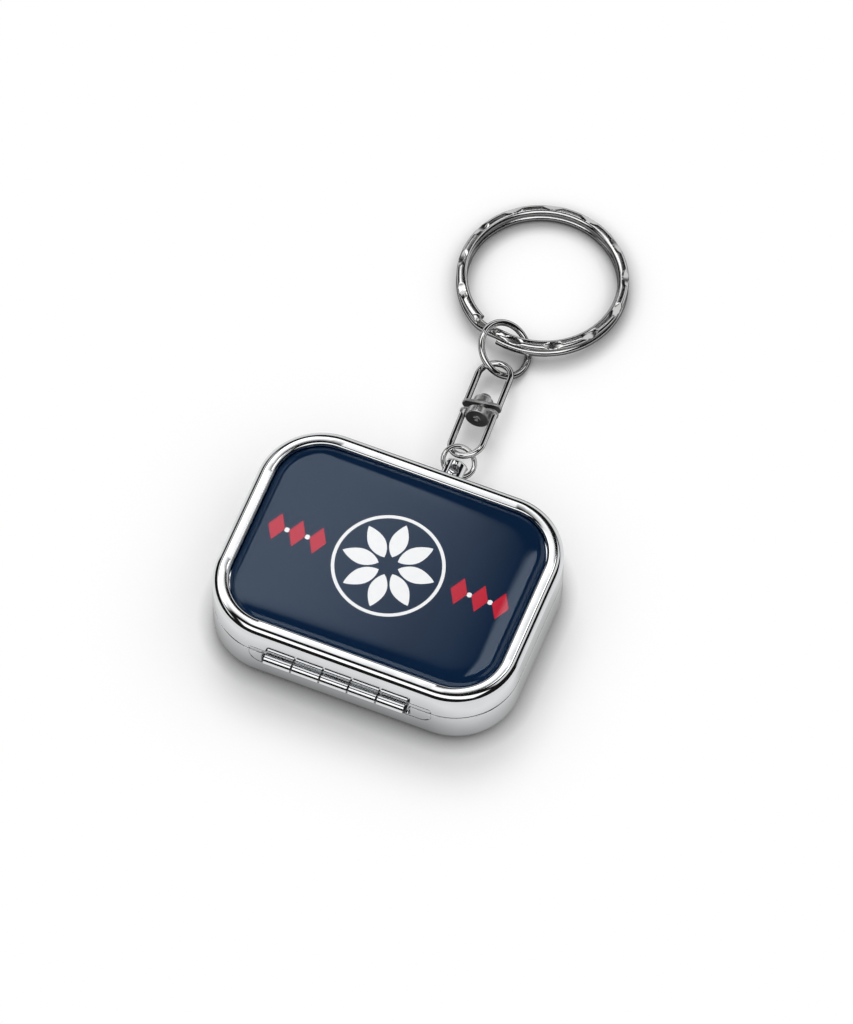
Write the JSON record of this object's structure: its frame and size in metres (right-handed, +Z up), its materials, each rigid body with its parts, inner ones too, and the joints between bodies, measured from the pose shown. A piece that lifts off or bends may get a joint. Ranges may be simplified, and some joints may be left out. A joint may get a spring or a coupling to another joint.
{
  "type": "tin case",
  "caption": "Small hinged metal tin case with a domed label panel in its lid, and a key ring on a swivel chain at its far wall.",
  "frame": {"origin": "middle of the flat underside of the box, on the surface it rests on", "axes": "+X along the box, +Y from the hinge wall to the wall with the chain, +Z up out of the lid"},
  "size_m": [0.047, 0.0901, 0.013],
  "materials": {
    "plated_case": "polished, bright chrome plating",
    "plated_band": "plain, less polished plating inside",
    "adhesive_film": "thin clear adhesive",
    "printed_label": "satin print, navy",
    "cast_resin": "clear glossy resin",
    "plated_hinge": "polished plating",
    "pin_steel": "plain steel wire",
    "plated_lug": "polished plating",
    "nickel_ring": "polished nickel plating",
    "nickel_swivel": "polished nickel plating",
    "nickel_rivet": "polished steel rivet",
    "nickel_split_ring": "polished nickel plating, pressed flats"
  },
  "bodies": {
    "case": {"base_shell": "plated_case", "neck_band": "plated_band", "hinge_leaf_base": "plated_hinge", "hinge_pin": "pin_steel", "chain_lug": "plated_lug", "lug_washer": "pin_steel"},
    "lid": {"lid_shell": "plated_case", "label_adhesive": "adhesive_film", "label_plate": "printed_label", "resin_dome": "cast_resin", "hinge_leaf_lid": "plated_hinge"},
    "lower_ring": {"lower_jump_ring": "nickel_ring"},
    "swivel_lower": {"swivel_lower_loop": "nickel_swivel", "swivel_lower_bridge": "nickel_swivel", "swivel_rivet": "nickel_rivet"},
    "swivel_upper": {"swivel_upper_bridge": "nickel_swivel", "swivel_upper_loop": "nickel_swivel"},
    "upper_ring": {"upper_jump_ring": "nickel_ring"},
    "key_ring": {"split_ring": "nickel_split_ring"}
  },
  "joints": [
    {"name": "lid_hinge", "type": "hinge", "parent": "case", "child": "lid", "pos_m": [-0.001, -0.01825, 0.00735], "axis": [1, 0, 0], "range_deg": [0, 110]},
    {"name": "lug_ring_swing", "type": "hinge", "parent": "case", "child": "lower_ring", "pos_m": [0.0016, 0.02155, 0.0052], "axis": [0.9374, -0.0655, -0.342], "range_deg": [-60, 60]},
    {"name": "lower_loop_swing", "type": "hinge", "parent": "lower_ring", "child": "swivel_lower", "pos_m": [0.00173, 0.0234, 0.0052], "axis": [0.3412, -0.0239, 0.9397], "range_deg": [-40, 25]},
    {"name": "swivel_spin", "type": "hinge", "parent": "swivel_lower", "child": "swivel_upper", "pos_m": [0.00123, 0.03335, 0.004], "axis": [-0.0638, 0.9866, -0.1504], "continuous": true},
    {"name": "upper_ring_swing", "type": "hinge", "parent": "swivel_upper", "child": "upper_ring", "pos_m": [0.00057, 0.04475, 0.00279], "axis": [0.559, 0.0195, 0.829], "range_deg": [-45, 45]},
    {"name": "split_ring_turn", "type": "hinge", "parent": "upper_ring", "child": "key_ring", "pos_m": [0.00057, 0.04475, 0.00279], "axis": [-0.0541, -0.9985, 0], "range_deg": [0, 100]}
  ]
}
